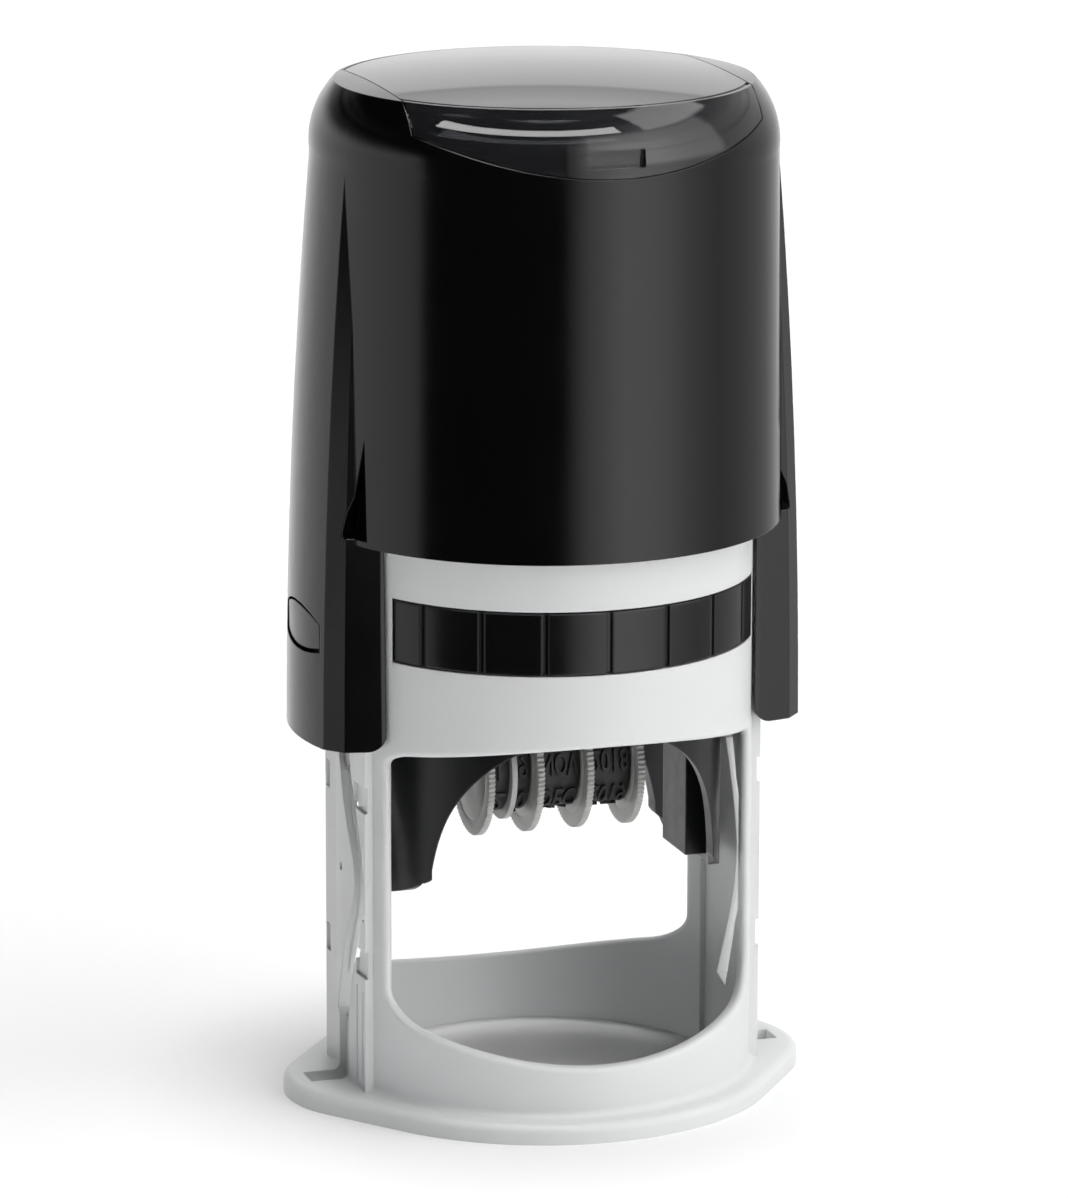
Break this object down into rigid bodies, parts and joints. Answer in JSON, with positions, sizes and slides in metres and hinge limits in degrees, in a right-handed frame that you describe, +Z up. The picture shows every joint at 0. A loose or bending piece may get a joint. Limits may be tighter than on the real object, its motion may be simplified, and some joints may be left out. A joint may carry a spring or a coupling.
{
  "type": "rotary date stamp",
  "caption": "Round self-inking date stamp: black push housing over a light grey frame, with a turning print plate, date wheels, ink cartridge and lock buttons.",
  "frame": {"origin": "centre of the base, at the paper plane", "axes": "+Z up along the press direction, +X from one lock button to the other, -Y the front, where the ink cartridge comes out"},
  "size_m": [0.0704, 0.062, 0.1356],
  "materials": {
    "frame_plastic": "moulded light grey ABS, satin",
    "housing_plastic": "moulded black ABS, high gloss",
    "cover_plastic": "clear smoked polystyrene over black, high gloss",
    "button_plastic": "moulded black ABS, satin gloss",
    "cartridge_plastic": "moulded black ABS, gloss",
    "pad_felt": "ink-soaked felt",
    "rotor_plastic": "moulded black POM, satin",
    "wheel_plastic": "moulded translucent natural POM",
    "pin_steel": "drawn steel pin",
    "spring_steel": "drawn spring steel wire",
    "print_rubber": "laser-cut stamp rubber",
    "band_rubber": "moulded black rubber band"
  },
  "bodies": {
    "frame": {"base_frame": "frame_plastic", "return_spring": "spring_steel"},
    "housing": {"housing_shell": "housing_plastic", "carrier_leg_left": "rotor_plastic", "carrier_leg_right": "rotor_plastic"},
    "cover": {"top_cover": "cover_plastic"},
    "lock_left": {"lock_button_left": "button_plastic"},
    "lock_right": {"lock_button_right": "button_plastic"},
    "cartridge": {"ink_cartridge_case": "cartridge_plastic", "ink_pad": "pad_felt"},
    "rotor": {"rotor_body": "rotor_plastic", "axle_pins": "pin_steel", "cam_pins": "pin_steel", "text_plate": "print_rubber", "band_bridge": "rotor_plastic", "band_separator": "wheel_plastic", "wheel_axle": "pin_steel", "date_band_tens": "band_rubber", "date_band_units": "band_rubber", "date_band_month": "band_rubber", "date_band_year": "band_rubber"},
    "wheel_tens": {"date_wheel_tens": "wheel_plastic"},
    "wheel_units": {"date_wheel_units": "wheel_plastic"},
    "wheel_month": {"date_wheel_month": "wheel_plastic"},
    "wheel_year": {"date_wheel_year": "wheel_plastic"}
  },
  "joints": [
    {"name": "press", "type": "slide", "parent": "frame", "child": "housing", "axis": [0, 0, -1], "range_m": [0, 0.044], "stiffness_N_per_m": 220, "springref_m": -0.025, "deforming": ["return_spring"]},
    {"name": "rotor_flip", "type": "hinge", "parent": "housing", "child": "rotor", "pos_m": [0, 0, 0.052], "axis": [-1, 0, 0], "range_deg": [0, 180]},
    {"name": "cartridge_pull", "type": "slide", "parent": "frame", "child": "cartridge", "axis": [0, -1, 0], "range_m": [0, 0.062]},
    {"name": "cover_lift", "type": "slide", "parent": "housing", "child": "cover", "axis": [0, 0, 1], "range_m": [0, 0.02]},
    {"name": "lock_left_press", "type": "slide", "parent": "housing", "child": "lock_left", "axis": [1, 0, 0], "range_m": [0, 0.0015], "stiffness_N_per_m": 600, "springref_m": -0.001},
    {"name": "lock_right_press", "type": "slide", "parent": "housing", "child": "lock_right", "axis": [-1, 0, 0], "range_m": [0, 0.0015], "stiffness_N_per_m": 600, "springref_m": -0.001},
    {"name": "tens_wheel_turn", "type": "hinge", "parent": "rotor", "child": "wheel_tens", "pos_m": [0, 0, 0.0428], "axis": [1, 0, 0], "continuous": true},
    {"name": "units_wheel_turn", "type": "hinge", "parent": "rotor", "child": "wheel_units", "pos_m": [0, 0, 0.0428], "axis": [1, 0, 0], "continuous": true},
    {"name": "month_wheel_turn", "type": "hinge", "parent": "rotor", "child": "wheel_month", "pos_m": [0, 0, 0.0428], "axis": [1, 0, 0], "continuous": true},
    {"name": "year_wheel_turn", "type": "hinge", "parent": "rotor", "child": "wheel_year", "pos_m": [0, 0, 0.0428], "axis": [1, 0, 0], "continuous": true}
  ],
  "couplings": [
    {"joint": "rotor_flip", "follows": "press", "rad_per_m": 71.4}
  ]
}
